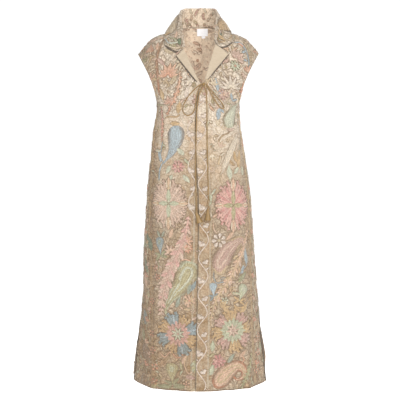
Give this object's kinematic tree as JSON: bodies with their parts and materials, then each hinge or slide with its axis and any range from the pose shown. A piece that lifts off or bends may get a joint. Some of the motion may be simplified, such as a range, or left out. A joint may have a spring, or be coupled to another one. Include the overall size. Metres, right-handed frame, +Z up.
{
  "type": "embroidered waistcoat",
  "caption": "Floor-length sleeveless waistcoat in embroidered linen, worn shape, with notched collar, turned-back lapels, cap shoulders, side slits and a satin cord tie.",
  "frame": {"origin": "on the centre plane, level with the neck points, where the wearer's shoulders hold the garment", "axes": "+Z up along the wearer's height, the wearer faces -Y, +X to the wearer's left"},
  "size_m": [0.5367, 0.3197, 1.4874],
  "materials": {
    "embroidered_linen": "beige linen covered in many-coloured chain-stitch and crewel embroidery",
    "plain_facing": "plain pale linen",
    "tie_satin": "golden-brown satin",
    "label_tape": "white woven tape, bare"
  },
  "bodies": {
    "root": {"front_right": "embroidered_linen", "front_left": "embroidered_linen", "back_right": "embroidered_linen", "back_left": "embroidered_linen", "collar": "embroidered_linen", "lapel_right": "plain_facing", "lapel_left": "plain_facing", "tie_knot": "tie_satin", "tie_loop_right": "tie_satin", "tie_loop_left": "tie_satin", "tie_tail_right": "tie_satin", "tie_tail_left": "tie_satin", "tie_cone_right": "tie_satin", "tie_cone_left": "tie_satin", "label": "label_tape", "size_tab": "label_tape"}
  },
  "joints": []
}
